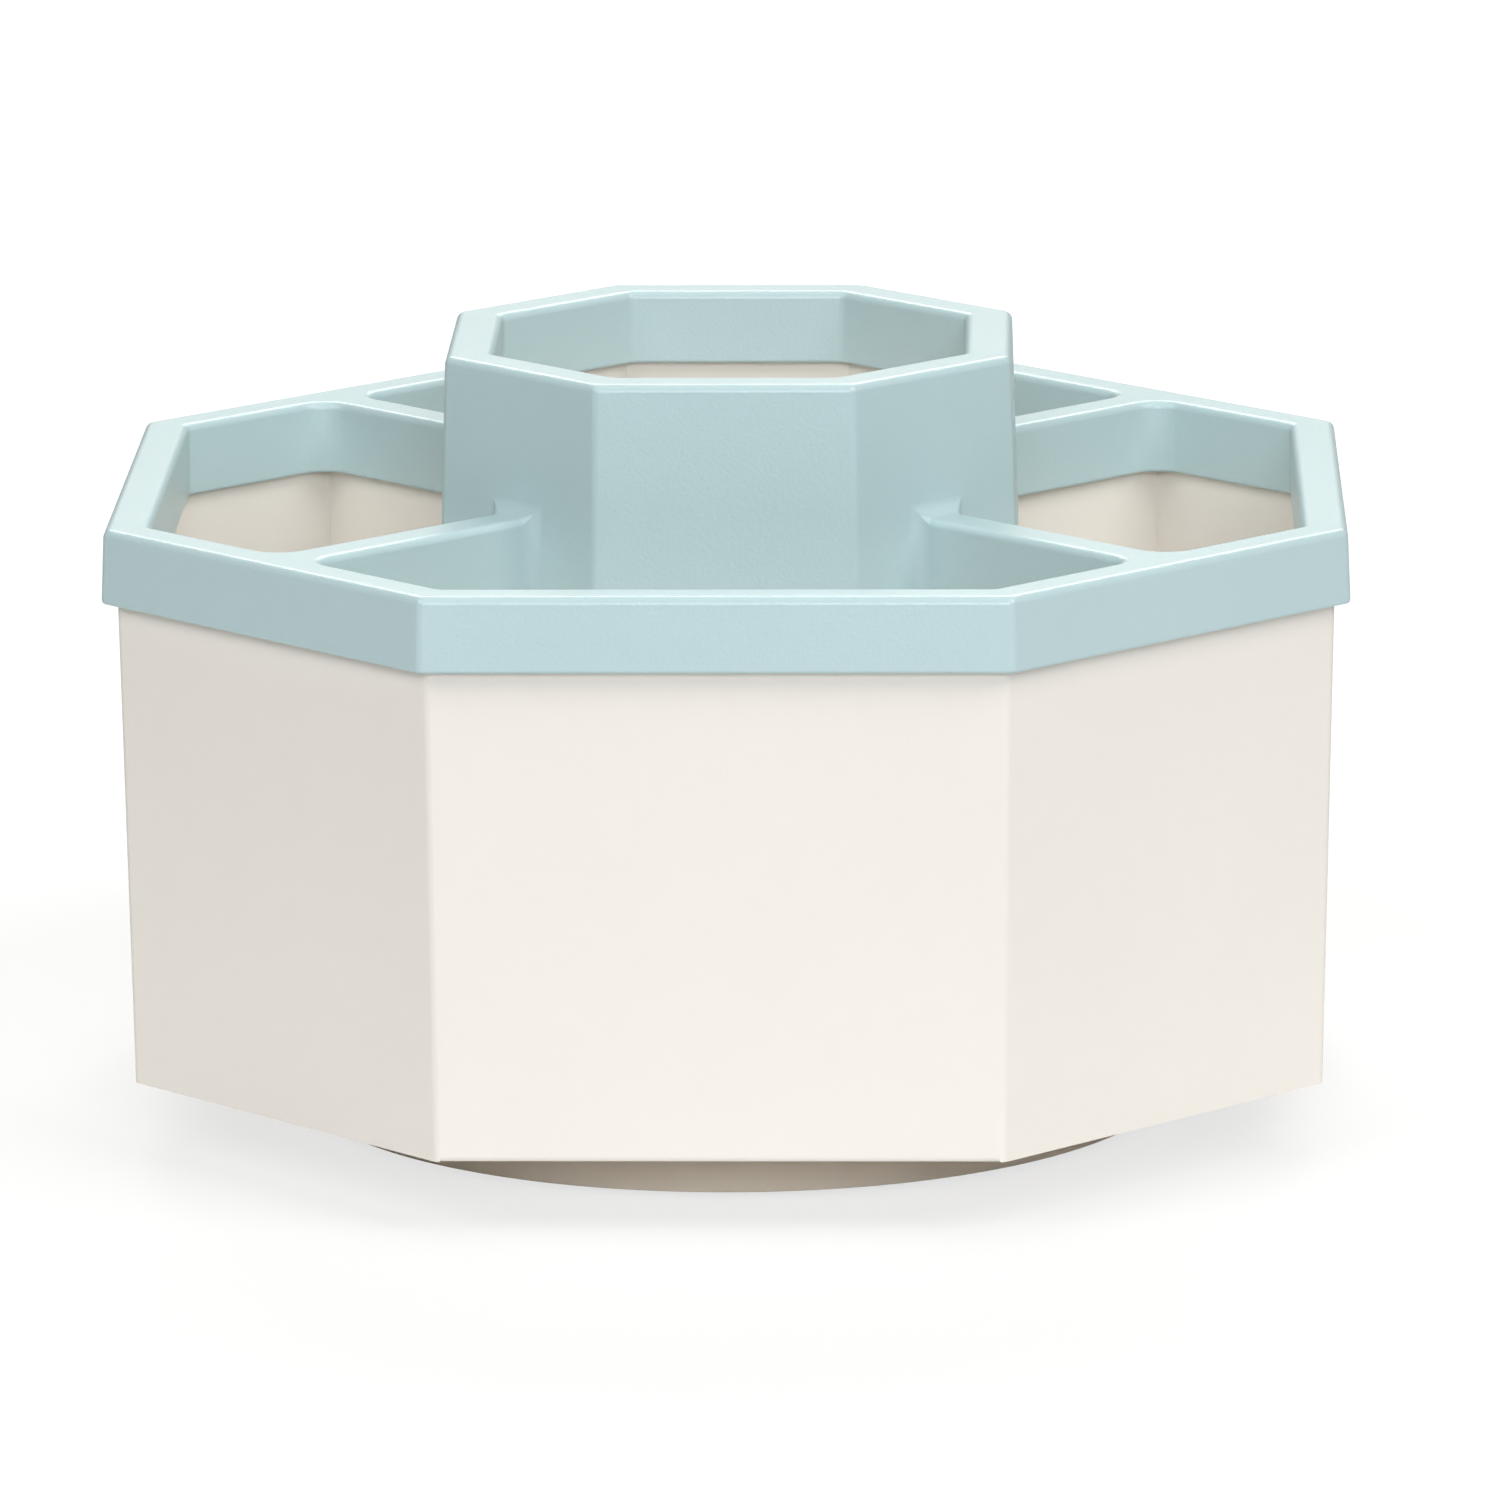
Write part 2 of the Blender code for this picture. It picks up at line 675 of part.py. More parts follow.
# Fasteners
def make_screw(name, head, tip):
    """A domed screw that stands head down, from its head's lowest level to its tip."""
    head_radius = SCREW_HEAD_DIAMETER / 2
    seat = head + SCREW_HEAD_HEIGHT
    profile = [(0, head)]
    for inward, up in reversed(fillet_shares()):
        level = head + SCREW_HEAD_HEIGHT * (1 - up) / 2
        profile.append((head_radius - SCREW_HEAD_HEIGHT * inward / 2, level))
    profile.append((head_radius, seat))
    profile.append((screw_radius, seat))
    profile.append((screw_radius, tip - screw_radius))
    profile.append((screw_radius / 2, tip))
    profile.append((0, tip))
    return turned(name, profile, steps=SMALL_STEPS, closed=False)


def make_washer():
    hole, outer = screw_hole_radius, hub_radius - WASHER_INSET
    corners = [(hole, washer_foot), (hole, washer_top), (outer, washer_top), (outer, washer_foot)]
    return turned("thrust_washer", corners, steps=2 * SMALL_STEPS)


def make_plate_screws():
    screws = []
    head = plate_foot - SEAT_GAP - SCREW_HEAD_HEIGHT
    for number, angle in enumerate(SHORT_FACES, start=1):
        screw = make_screw(f"plate_screw_{number}", head, boss_foot + PLATE_SCREW_GRIP)
        screw.location = (*on_circle(screw_circle, angle), 0)
        screws.append(screw)
    return screws


# Materials
def finish(name, colour, roughness, metallic=0.0):
    material = bpy.data.materials.new(name)
    material.use_nodes = True
    shader = material.node_tree.nodes["Principled BSDF"]
    shader.inputs["Base Color"].default_value = (*colour, 1.0)
    shader.inputs["Roughness"].default_value = roughness
    shader.inputs["Metallic"].default_value = metallic
    return material


def dress(pieces, material):
    for piece in pieces:
        piece.data.materials.clear()
        piece.data.materials.append(material)


def turning_axis(name, pieces):
    """An empty on the turning axis that carries the pieces which turn together."""
    axis = bpy.data.objects.new(name, None)
    bpy.context.scene.collection.objects.link(axis)
    for piece in pieces:
        piece.parent = axis
    return axis


def main():
    for item in list(bpy.data.objects):
        bpy.data.objects.remove(item, do_unlink=True)

    frame = make_top_frame()
    tub = make_tub()
    disc = make_base_disc()
    plate = make_plate()
    cage = make_cage()
    balls = make_balls()
    pads = [make_foot_pad(f"foot_pad_{i}", angle) for i, angle in enumerate(SHORT_FACES, start=1)]
    washer = make_washer()
    pivot_screw = make_screw("pivot_screw", head_foot, spindle_foot + PIVOT_SCREW_GRIP)
    plate_screws = make_plate_screws()

    dress([frame], finish("mint_plastic", (0.52, 0.69, 0.70), 0.38))
    dress([tub], finish("cream_plastic", (0.86, 0.84, 0.79), 0.42))
    dress([disc, plate], finish("beige_plastic", (0.80, 0.74, 0.66), 0.45))
    dress([cage], finish("cage_plastic", (0.75, 0.75, 0.73), 0.5))
    dress(pads, finish("pad_rubber", (0.10, 0.10, 0.10), 0.8))
    dress(balls + [washer, pivot_screw] + plate_screws, finish("steel", (0.6, 0.6, 0.6), 0.25, 1.0))

    turning_axis("cage_axis", [cage] + balls)
    turning_axis("holder_axis", [tub, frame, plate, washer, pivot_screw] + plate_screws)


main()
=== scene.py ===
"""Finish and fine shapes of the rotating pen holder, in metres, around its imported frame."""

import json
import math
from contextlib import contextmanager

import bmesh
import bpy
from mathutils import Matrix, Vector


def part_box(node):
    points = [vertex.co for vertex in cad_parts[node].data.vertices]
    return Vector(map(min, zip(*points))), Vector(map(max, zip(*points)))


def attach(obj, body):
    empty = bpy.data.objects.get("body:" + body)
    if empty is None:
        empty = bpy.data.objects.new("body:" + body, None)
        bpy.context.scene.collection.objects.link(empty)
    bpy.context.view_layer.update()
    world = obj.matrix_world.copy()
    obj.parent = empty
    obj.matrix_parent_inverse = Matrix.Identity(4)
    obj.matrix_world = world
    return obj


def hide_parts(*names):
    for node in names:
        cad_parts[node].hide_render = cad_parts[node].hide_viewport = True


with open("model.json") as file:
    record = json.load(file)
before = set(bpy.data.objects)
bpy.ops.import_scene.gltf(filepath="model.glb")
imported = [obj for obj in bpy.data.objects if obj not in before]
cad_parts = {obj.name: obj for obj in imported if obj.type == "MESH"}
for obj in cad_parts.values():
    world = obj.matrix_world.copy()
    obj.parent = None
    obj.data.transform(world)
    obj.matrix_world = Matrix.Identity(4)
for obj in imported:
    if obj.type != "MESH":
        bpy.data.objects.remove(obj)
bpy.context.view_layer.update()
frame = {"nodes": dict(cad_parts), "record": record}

MM = 0.001
PHOTO_SIZE = 1500
TINY = 0.01 * MM

# Sizes that the frame gives
frame_low, frame_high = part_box("top_frame")
tub_low, tub_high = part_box("tub")
disc_low, disc_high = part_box("base_disc")
washer_low, washer_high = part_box("thrust_washer")

# Sizes of the top frame
RIM = 85.6 * MM
SKIRT_SIDE = 76.6 * MM
SKIRT_FLARE = 0.4 * MM
CHANNEL = 6.0 * MM
SLEEVE_HALF = 37.75 * MM
SLEEVE_SIDE = 34.1 * MM
SLEEVE_FLARE = 0.9 * MM
SLEEVE_LAND = 6.25 * MM
BAR_HALF = 3.09 * MM
BAR_END_SLACK = 5.0 * MM
FRAME_WALL = 1.45 * MM
TOP_ROUND = 1.1 * MM
ROOT_ROUND = 2.0 * MM
POCKET_ROUND = 4.0 * MM
LIP_ROUND = 1.0 * MM
UPRIGHT_ROUND = 1.5 * MM
FOOT_ROUND = 0.5 * MM

# Sizes of the tub
FLOOR_TOP = 20.9 * MM
FLOOR_FOOT = 18.9 * MM
TUB_TOP = 83.5 * MM
TUB_SHORT = 83.47 * MM
TUB_TAPER = 1.4 * MM
TUB_WALL = 2.3 * MM
DIVIDER_HALF = 1.1 * MM
TUBE_HALF = 35.8 * MM
TUBE_SHORT = 36.8 * MM
TUBE_LEAN = 0.75 * MM
TUB_ROUND = 1.5 * MM
TUB_FOOT_ROUND = 0.8 * MM
SINK_HALF = 1.3 * MM
SINK_DEPTH = 0.05 * MM
RIB_HALF = 0.7 * MM
RIB_FOOT = 15.5 * MM
BOSS_RADIUS = 3.6 * MM
BOSS_FOOT = 14.9 * MM

# Sizes of the base disc and of what it holds
DISC_WALL = 2.0 * MM
DISC_TAPER = 0.4 * MM
DISC_SIDES = 160
DISC_ROUND = 1.0 * MM
DISC_FOOT_ROUND = 0.3 * MM
DISC_RIB_FOOT = 1.8 * MM
DECK_FOOT = 6.4 * MM
HUB_RADIUS = 10.0 * MM
HUB_FOOT = 4.4 * MM
HUB_BORE = 5.9 * MM
RACE_RADIUS = 38.0 * MM
RACE_HALF = 2.3 * MM
RACE_DEPTH = 1.2 * MM
BALL_SPACE = 2.8 * MM
GROOVE_STEPS = 8
SEAT_WALL = 1.2 * MM
PAD_CIRCLE = 50.6 * MM
PAD_SEAT_TOP = 1.9 * MM
PAD_SLACK = 0.4 * MM
PAD_HEIGHT = 1.6 * MM
PAD_ROUND = 0.3 * MM
PAD_RIM = 1.2 * MM
PAD_DISH = 0.2 * MM
WASHER_RADIUS = 8.5 * MM
WASHER_BORE = 1.8 * MM
WASHER_INSET = 1.5 * MM
WASHER_ROUND = 0.15 * MM
SCREW_CIRCLE = 46.1 * MM
HEAD_RADIUS = 2.8 * MM
HEAD_HEIGHT = 1.5 * MM
HEAD_ROUND = 0.7 * MM
SHANK_RADIUS = 1.5 * MM
CROSS_REACH = 1.6 * MM
CROSS_HALF = 0.35 * MM
CROSS_DEPTH = 0.9 * MM

ROUND_STEPS = 5
CORNER_STEPS = 4
POCKET_STEPS = 7
FOOT_STEPS = 3
ROOT_TWO = math.sqrt(2)
DIAGONALS = (315, 45, 135, 225)


# Camera, as found from the corners of the photographed octagons
CAMERA_PLACE = (0.04145, -1.54374, 0.38872)
CAMERA_PITCH = 0.21752
CAMERA_YAW = 0.02542
CAMERA_ROLL = -0.00578
FOCAL_PIXELS = 11651.1
SENSOR = 36.0


def make_camera():
    data = bpy.data.cameras.new("camera")
    data.sensor_width = SENSOR
    data.lens = SENSOR * FOCAL_PIXELS / PHOTO_SIZE
    data.clip_end = 20
    camera = bpy.data.objects.new("camera", data)
    turn = Matrix.Rotation(CAMERA_YAW, 4, "Z")
    turn = turn @ Matrix.Rotation(math.pi / 2 - CAMERA_PITCH, 4, "X")
    turn = turn @ Matrix.Rotation(CAMERA_ROLL, 4, "Z")
    camera.matrix_world = Matrix.Translation(CAMERA_PLACE) @ turn
    bpy.context.scene.collection.objects.link(camera)
    bpy.context.scene.camera = camera


# Places in plan
def long_distance(point):
    """How far out a point lies towards the nearest long side of the octagon."""
    return max(abs(point.x), abs(point.y))


def short_distance(point):
    """How far out a point lies towards the nearest short side of the octagon."""
    return (abs(point.x) + abs(point.y)) / ROOT_TWO


def off_diagonal(point):
    """How far a point lies from the nearer of the two diagonals."""
    return abs(abs(point.x) - abs(point.y)) / ROOT_TWO


def middle(element):
    points = [vert.co for vert in element.verts]
    return sum(points, Vector()) / len(points)


def at_level(element, level):
    return all(abs(vert.co.z - level) < TINY for vert in element.verts)


def upright(edge):
    run = edge.verts[1].co - edge.verts[0].co
    return abs(run.z) > 0.9 * run.length


def sharp(edge, least=math.radians(30)):
    return len(edge.link_faces) == 2 and edge.calc_face_angle() > least


def flat(edge):
    return len(edge.link_faces) == 2 and edge.calc_face_angle() < math.radians(1)


# Modelling by hand
@contextmanager
def editing(piece):
    bpy.ops.object.select_all(action="DESELECT")
    piece.select_set(True)
    bpy.context.view_layer.objects.active = piece
    bpy.ops.object.mode_set(mode="EDIT")
    yield
    bpy.ops.object.mode_set(mode="OBJECT")


def pick(kind, wanted):
    """Selects only the faces, edges or points that are wanted, and says how many."""
    mesh = bpy.context.object.data
    bpy.ops.mesh.select_mode(type=kind)
    bpy.ops.mesh.select_all(action="DESELECT")
    form = bmesh.from_edit_mesh(mesh)
    elements = {"VERT": form.verts, "EDGE": form.edges, "FACE": form.faces}[kind]
    chosen = [element for element in elements if wanted(element)]
    for element in chosen:
        element.select_set(True)
    form.select_flush_mode()
    bmesh.update_edit_mesh(mesh)
    return len(chosen)


def slice_faces(wanted, point, normal):
    """Cuts the wanted faces along a plane."""
    pick("FACE", wanted)
    bpy.ops.mesh.bisect(plane_co=point, plane_no=normal)


def extrude(x, y, z):
    bpy.ops.mesh.extrude_region_move(TRANSFORM_OT_translate={"value": (x, y, z)})


def resize(share):
    bpy.ops.transform.resize(value=(share, share, 1), center_override=(0, 0, 0))


def new_block(name, low, high):
    """A cube at its size and place, to start a piece from."""
    low, high = Vector(low), Vector(high)
    bpy.ops.object.select_all(action="DESELECT")
    bpy.ops.mesh.primitive_cube_add(size=1, location=(low + high) / 2, scale=high - low)
    bpy.ops.object.transform_apply(location=True, rotation=True, scale=True)
    bpy.context.object.name = name
    return bpy.context.object


def new_drum(name, radius, foot, top, centre=(0, 0), sides=64):
    """A cylinder at its size and place, to start a turned piece from."""
    bpy.ops.object.select_all(action="DESELECT")
    bpy.ops.mesh.primitive_cylinder_add(
        vertices=sides,
        radius=radius,
        depth=top - foot,
        location=(centre[0], centre[1], (foot + top) / 2),
    )
    bpy.ops.object.transform_apply(location=True, rotation=True, scale=True)
    bpy.context.object.name = name
    return bpy.context.object


def new_octagon(name, half, short, foot, top):
    """A block with four long and four short upright sides."""
    block = new_block(name, (-half, -half, foot), (half, half, top))
    with editing(block):
        pick("EDGE", upright)
        bpy.ops.mesh.bevel(offset=2 * half - ROOT_TWO * short, segments=1, affect="EDGES")
    return block


def apply_modifier(piece, kind, **settings):
    bpy.ops.object.select_all(action="DESELECT")
    piece.select_set(True)
    bpy.context.view_layer.objects.active = piece
    modifier = piece.modifiers.new(kind.lower(), kind)
    for name, setting in settings.items():
        setattr(modifier, name, setting)
    bpy.ops.object.modifier_apply(modifier=modifier.name)


def combine(piece, other, operation):
    """Joins another solid to a piece or cuts it away, and removes it."""
    apply_modifier(piece, "BOOLEAN", operation=operation, object=other)
    bpy.data.objects.remove(other)


def smooth(piece, degrees=35):
    """Shades round stretches smooth and keeps flats flat."""
    bpy.ops.object.select_all(action="DESELECT")
    piece.select_set(True)
    bpy.context.view_layer.objects.active = piece
    bpy.ops.object.shade_smooth_by_angle(angle=math.radians(degrees))
    apply_modifier(piece, "WEIGHTED_NORMAL", keep_sharp=True)


def bevel(width, steps):
    bpy.ops.mesh.bevel(offset=width, segments=steps, affect="EDGES")


def corner_width(radius, turn):
    """How far from a corner its round starts, for a turn in degrees."""
    return radius * math.tan(math.radians(turn) / 2)


def on_circle(radius, degrees):
    angle = math.radians(degrees)
    return radius * math.cos(angle), radius * math.sin(angle)


# Top frame
sleeve_short = (SLEEVE_HALF + SLEEVE_SIDE / 2) / ROOT_TWO
skirt_half = frame_high.x
skirt_short = (skirt_half + SKIRT_SIDE / 2) / ROOT_TWO
skirt_foot = frame_low.z
sleeve_top = frame_high.z
lip_depth = RIM - skirt_foot
sleeve_slope = SLEEVE_FLARE / (sleeve_top - skirt_foot)
rim_growth = 1 + sleeve_slope * (sleeve_top - RIM) / SLEEVE_HALF
foot_growth = 1 + SLEEVE_FLARE / SLEEVE_HALF
core_half = SLEEVE_HALF * rim_growth
core_short = sleeve_short * rim_growth


def in_core(point, slack=0.0):
    return long_distance(point) < core_half + slack and short_distance(point) < core_short + slack


def rim_face(face):
    inside = long_distance(middle(face)) < skirt_half - CHANNEL - SKIRT_FLARE
    inside = inside and short_distance(middle(face)) < skirt_short - CHANNEL - SKIRT_FLARE
    return at_level(face, RIM) and inside


def pocket_face(face):
    return rim_face(face) and off_diagonal(middle(face)) > BAR_HALF


def cut_rim_plan():
    """Marks out the bars, the pockets and the sleeve's foot on the rim's flat top."""
    for side in (1, -1):
        for offset in (BAR_HALF, -BAR_HALF):
            across = Vector((1, side, 0)).normalized()
            slice_faces(rim_face, across * offset, across)
    for degrees in DIAGONALS:
        out = Vector((*on_circle(1, degrees), 0))
        slice_faces(rim_face, out * core_short, out)
    for degrees in (0, 90, 180, 270):
        out = Vector((*on_circle(1, degrees), 0))
        slice_faces(pocket_face, out * core_half, out)
    pick("FACE", lambda face: rim_face(face) and in_core(middle(face)))
    bpy.ops.mesh.dissolve_faces()
    pick("FACE", lambda face: pocket_face(face) and not in_core(middle(face)))
    bpy.ops.mesh.delete(type="FACE")
    pick("VERT", straight_run)
    bpy.ops.mesh.dissolve_verts()


def straight_run(vert):
    """True for a point that only divides a straight edge of a pocket."""
    if len(vert.link_edges) != 2:
        return False
    first, second = [edge.other_vert(vert).co - vert.co for edge in vert.link_edges]
    return first.angle(second) > math.radians(179)


def raise_sleeve():
    """Draws the sleeve up from its foot, turns its top in and drops the lip inside."""
    pick("FACE", lambda face: at_level(face, RIM) and in_core(middle(face)))
    extrude(0, 0, sleeve_top - RIM)
    resize(1 / rim_growth)
    bpy.ops.mesh.inset(thickness=SLEEVE_LAND, use_even_offset=True)
    extrude(0, 0, -lip_depth)
    bpy.ops.mesh.delete(type="FACE")


def frame_sheet():
    """The frame's outer skin, still without thickness or rounded edges."""
    sheet = new_octagon("frame_cover", skirt_half, skirt_short, skirt_foot, RIM)
    with editing(sheet):
        pick("FACE", lambda face: at_level(face, RIM))
        resize(1 - SKIRT_FLARE / skirt_half)
        bpy.ops.mesh.inset(thickness=CHANNEL, use_even_offset=True)
        pick("FACE", lambda face: at_level(face, skirt_foot))
        bpy.ops.mesh.delete(type="ONLY_FACE")
        cut_rim_plan()
        raise_sleeve()
        pick("EDGE", lambda edge: edge.is_boundary and at_level(edge, RIM))
        extrude(0, 0, -lip_depth)
        pick("VERT", lambda vert: abs(vert.co.z - skirt_foot) < TINY and in_core(vert.co, MM))
        resize(foot_growth / rim_growth)
        for level in (RIM, sleeve_top):
            for across in ((1, 0, 0), (0, 1, 0)):
                slice_faces(lambda face: at_level(face, level), (0, 0, 0), across)
        pick("EDGE", lambda edge: flat(edge) and not on_axis(edge))
        bpy.ops.mesh.dissolve_edges(use_verts=True)
        bpy.ops.mesh.select_all(action="SELECT")
        bpy.ops.mesh.normals_make_consistent(inside=False)
    return sheet


def on_axis(edge):
    """True for an edge that crosses a flat top at the middle of a long side."""
    return any(all(abs(vert.co[axis]) < TINY for vert in edge.verts) for axis in (0, 1))


def make_top_frame():
    cover = frame_sheet()
    with editing(cover):
        pick("EDGE", lambda edge: upright(edge) and beside_bar(edge, outer=True))
        bevel(corner_width(POCKET_ROUND, 90), POCKET_STEPS)
        pick("EDGE", lambda edge: plain_corner(edge) and in_pocket(edge))
        bevel(corner_width(LIP_ROUND, 45), CORNER_STEPS)
        pick("EDGE", lambda edge: plain_corner(edge) and not in_pocket(edge))
        bevel(corner_width(UPRIGHT_ROUND, 45), CORNER_STEPS)
    apply_modifier(cover, "SOLIDIFY", thickness=FRAME_WALL, offset=-1, use_even_offset=True)
    with editing(cover):
        pick("VERT", lambda vert: abs(vert.co.z - skirt_foot) < FRAME_WALL / 4)
        bpy.ops.transform.resize(value=(1, 1, 0), center_override=(0, 0, skirt_foot))
        pick("EDGE", lambda edge: sharp(edge) and not upright(edge) and on_top(edge))
        bpy.ops.transform.edge_bevelweight(value=TOP_ROUND / ROOT_ROUND)
        pick("EDGE", bar_root)
        bpy.ops.transform.edge_bevelweight(value=1)
    apply_modifier(cover, "BEVEL", width=ROOT_ROUND, segments=ROUND_STEPS, limit_method="WEIGHT")
    with editing(cover):
        pick("EDGE", lambda edge: sharp(edge, math.radians(50)) and foot_edge(edge))
        bevel(FOOT_ROUND, FOOT_STEPS)
    smooth(cover)
    return cover


def beside_bar(edge, outer=None):
    """True for an upright edge where a bar's side ends: at the rim if outer, or at the sleeve."""
    place = middle(edge)
    if abs(off_diagonal(place) - BAR_HALF) > 0.2 * MM:
        return False
    at_rim = short_distance(place) > 2 * core_short - BAR_END_SLACK
    return True if outer is None else at_rim == outer


def plain_corner(edge):
    """True for an upright edge between two sides that meet at 45 degrees."""
    return upright(edge) and sharp(edge) and not beside_bar(edge)


def in_pocket(edge):
    place = middle(edge)
    lips = within(place, skirt_half - CHANNEL / 2, skirt_short - CHANNEL / 2)
    return lips and not within(place, core_half + CHANNEL, core_short + CHANNEL)


def on_top(edge):
    return at_level(edge, RIM) or at_level(edge, sleeve_top)


def bar_root(edge):
    """True for an edge where a bar meets the sleeve, above and on both sides."""
    if not sharp(edge):
        return False
    if upright(edge):
        return beside_bar(edge, outer=False)
    return at_level(edge, RIM) and off_diagonal(middle(edge)) < TINY and in_core(middle(edge), MM)


def foot_edge(edge):
    return at_level(edge, skirt_foot) or at_level(edge, sleeve_top - lip_depth)


# Tub
tub_half = tub_high.x
tub_foot = tub_low.z
tube_top = tub_high.z
tube_lean_share = 1 + TUBE_LEAN / TUBE_HALF
floor_lean = 1 - TUB_TAPER / tub_half


def within(point, half, short):
    return long_distance(point) < half and short_distance(point) < short


def mouth_face(face):
    inside = within(middle(face), tub_half - TUB_WALL, TUB_SHORT - TUB_WALL)
    return at_level(face, TUB_TOP) and inside


def tube_face(face):
    tube = [size * tube_lean_share for size in (TUBE_HALF, TUBE_SHORT)]
    return mouth_face(face) and within(middle(face), *tube)


def cut_mouth():
    """Marks out the dividers, the tube and the pockets on the tub's top."""
    for side in (1, -1):
        for offset in (DIVIDER_HALF, -DIVIDER_HALF):
            across = Vector((1, side, 0)).normalized()
            slice_faces(mouth_face, across * offset, across)
    for first, half in ((0, TUBE_HALF), (45, TUBE_SHORT)):
        for quarter in range(4):
            out = Vector((*on_circle(1, first + 90 * quarter), 0))
            slice_faces(mouth_face, out * half * tube_lean_share, out)
    pick("FACE", tube_face)
    bpy.ops.mesh.dissolve_faces(use_verts=True)


def well_face(face):
    return mouth_face(face) and off_diagonal(middle(face)) > DIVIDER_HALF and not tube_face(face)


def hollow_tub():
    """Sinks the four pockets, then draws the tube up and bores it."""
    pick("FACE", well_face)
    extrude(0, 0, FLOOR_TOP - TUB_TOP)
    resize(floor_lean)
    pick("FACE", tube_face)
    extrude(0, 0, tube_top - TUB_TOP)
    resize(1 / tube_lean_share)
    bpy.ops.mesh.inset(thickness=TUB_WALL, use_even_offset=True)
    extrude(0, 0, FLOOR_TOP - tube_top)


def recess_foot():
    """Hollows the tub's underside up to its ribs, and on between them up to the floor."""
    pick("FACE", lambda face: at_level(face, tub_foot))
    bpy.ops.mesh.inset(thickness=TUB_WALL, use_even_offset=True)
    extrude(0, 0, RIB_FOOT - tub_foot)
    for degrees in (0, 45, 90, 135):
        for offset in (RIB_HALF, -RIB_HALF):
            across = Vector((*on_circle(1, degrees), 0))
            slice_faces(lambda face: at_level(face, RIB_FOOT), across * offset, across)
    pick("FACE", lambda face: at_level(face, RIB_FOOT) and not on_rib(middle(face)))
    extrude(0, 0, FLOOR_FOOT - RIB_FOOT)


def on_rib(point):
    offsets = (abs(point.x), abs(point.y), off_diagonal(point))
    return min(offsets) < RIB_HALF


def short_wall(face):
    """True for one of the four outer walls that carry a divider behind them."""
    place = middle(face)
    outer = short_distance(place) > TUB_SHORT - TUB_TAPER - TUB_ROUND
    return outer and abs(face.normal.z) < 0.1 and off_diagonal(place) < SKIRT_SIDE / 4


def sink_lines():
    """Dents the outer walls faintly where a divider meets them from inside."""
    for side in (1, -1):
        across = Vector((1, side, 0)).normalized()
        for offset in (-SINK_HALF, 0, SINK_HALF):
            slice_faces(
                lambda face: short_wall(face) and near_plane(face, across), across * offset, across
            )
    pick("VERT", on_sink_line)
    resize(1 - SINK_DEPTH / TUB_SHORT)


def near_plane(face, across):
    return abs(middle(face).dot(across)) < SKIRT_SIDE / 4


def on_sink_line(vert):
    """True for a point at the middle of a short wall, on its outer skin."""
    share = (TUB_TOP - vert.co.z) / (TUB_TOP - tub_foot)
    inside_skin = TUB_SHORT - TUB_TAPER * share - TUB_WALL / 4
    return off_diagonal(vert.co) < TINY and short_distance(vert.co) > inside_skin


def tub_upright(edge):
    """True for an edge between two outer walls or between two sides of the tube."""
    place = middle(edge)
    if not upright(edge) or not sharp(edge):
        return False
    outside = short_distance(place) > TUB_SHORT - TUB_TAPER - TUB_WALL / 4
    return outside or (place.z > TUB_TOP - TUB_WALL and within(place, TUBE_HALF + MM, TUBE_SHORT + MM))


def make_tub():
    tub = new_octagon("holder_tub", tub_half, TUB_SHORT, tub_foot, TUB_TOP)
    with editing(tub):
        pick("FACE", lambda face: at_level(face, tub_foot))
        resize(1 - TUB_TAPER / tub_half)
        pick("FACE", lambda face: at_level(face, TUB_TOP))
        bpy.ops.mesh.inset(thickness=TUB_WALL, use_even_offset=True)
        cut_mouth()
        hollow_tub()
        recess_foot()
        sink_lines()
        pick("EDGE", tub_upright)
        bevel(corner_width(TUB_ROUND, 45), CORNER_STEPS)
        pick("EDGE", lambda edge: sharp(edge) and at_level(edge, tub_foot) and outside_tub(edge))
        bevel(TUB_FOOT_ROUND, ROUND_STEPS)
    for degrees in DIAGONALS:
        place = on_circle(SCREW_CIRCLE, degrees)
        boss = new_drum("boss", BOSS_RADIUS, BOSS_FOOT, (FLOOR_FOOT + FLOOR_TOP) / 2, place, 32)
        combine(tub, boss, "UNION")
    smooth(tub)
    return tub


def outside_tub(edge):
    return not within(middle(edge), tub_half - TUB_TAPER - TINY, TUB_SHORT - TUB_TAPER - TINY)


# Base and turntable
disc_radius = disc_high.x
disc_foot = disc_low.z
disc_top = disc_high.z
pad_low, pad_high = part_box("foot_pad_1")
pad_radius = (pad_high.x - pad_low.x) / 2


def sink_in(thickness, depth):
    """Insets the selected faces and moves them inwards."""
    bpy.ops.mesh.inset(thickness=thickness, depth=-depth, use_even_offset=True)


def groove_deck():
    """Turns the ball groove into the disc's top as a row of narrow rings."""
    half_turn = math.asin(RACE_HALF / BALL_SPACE)
    bpy.ops.mesh.inset(thickness=disc_radius - DISC_TAPER - RACE_RADIUS - RACE_HALF)
    for step in range(GROOVE_STEPS):
        near, far = [half_turn * (2 * (step + end) / GROOVE_STEPS - 1) for end in (0, 1)]
        across = BALL_SPACE * (math.sin(far) - math.sin(near))
        fall = BALL_SPACE * (math.cos(far) - math.cos(near))
        sink_in(across, fall)


